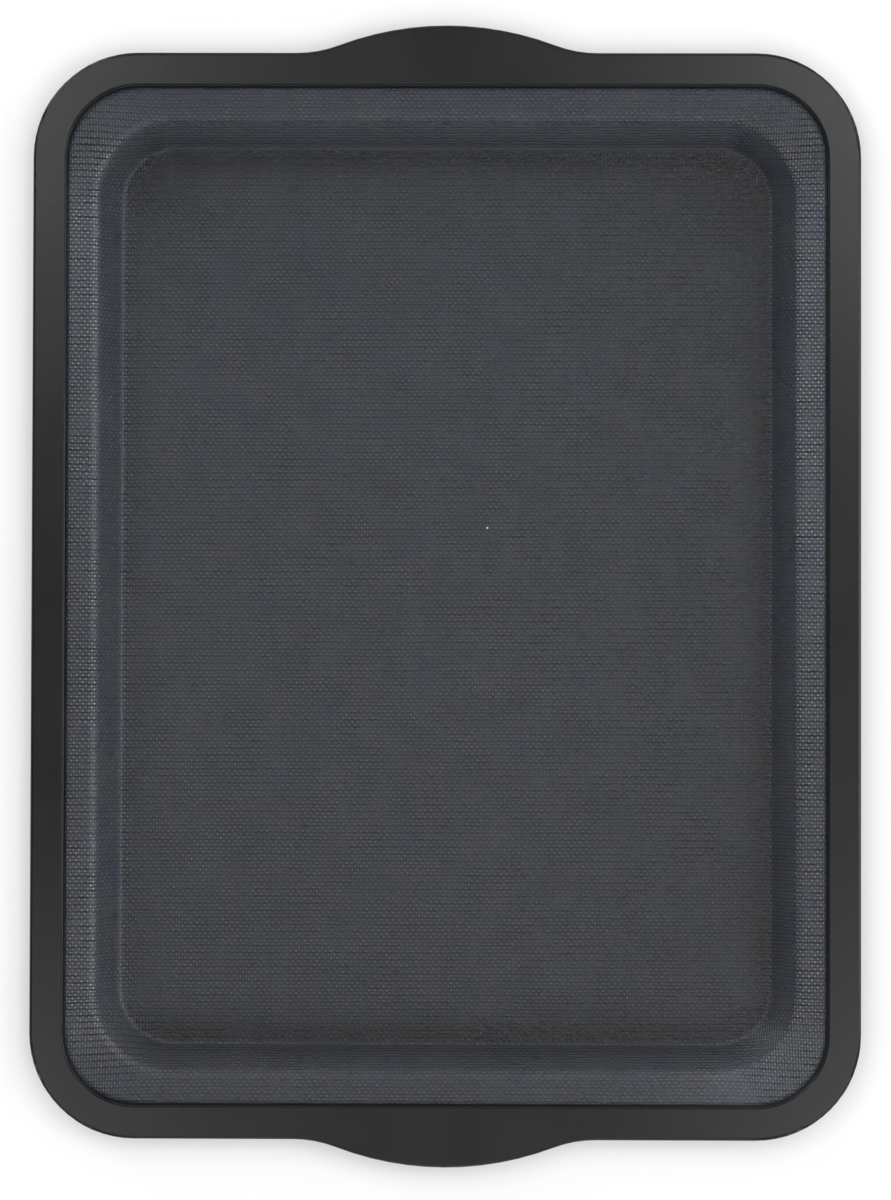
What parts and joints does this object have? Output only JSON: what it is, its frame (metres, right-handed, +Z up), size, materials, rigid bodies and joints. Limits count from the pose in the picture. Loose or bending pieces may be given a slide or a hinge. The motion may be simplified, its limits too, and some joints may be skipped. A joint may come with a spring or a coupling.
{
  "type": "silicone baking mat",
  "caption": "Flexible silicone baking mat formed as a shallow rectangular tray of coated glass cloth, with a flat raised rim and a low curved handle tab at each short end.",
  "frame": {"origin": "centre of the underside of the tray floor, on the surface that the mat rests on", "axes": "+X across the mat, +Y along it towards one handle tab, +Z up out of the tray"},
  "size_m": [0.3, 0.413, 0.0124],
  "materials": {
    "silicone_rim": "matte moulded silicone",
    "silicone_coat": "satin silicone coat with the weave of the cloth showing through",
    "glass_cloth": "woven glass cloth",
    "steel_wire": "drawn wire"
  },
  "bodies": {
    "root": {"rim": "silicone_rim", "rim_wire": "steel_wire", "top_coat": "silicone_coat", "glass_cloth": "glass_cloth", "bottom_coat": "silicone_coat"}
  },
  "joints": []
}
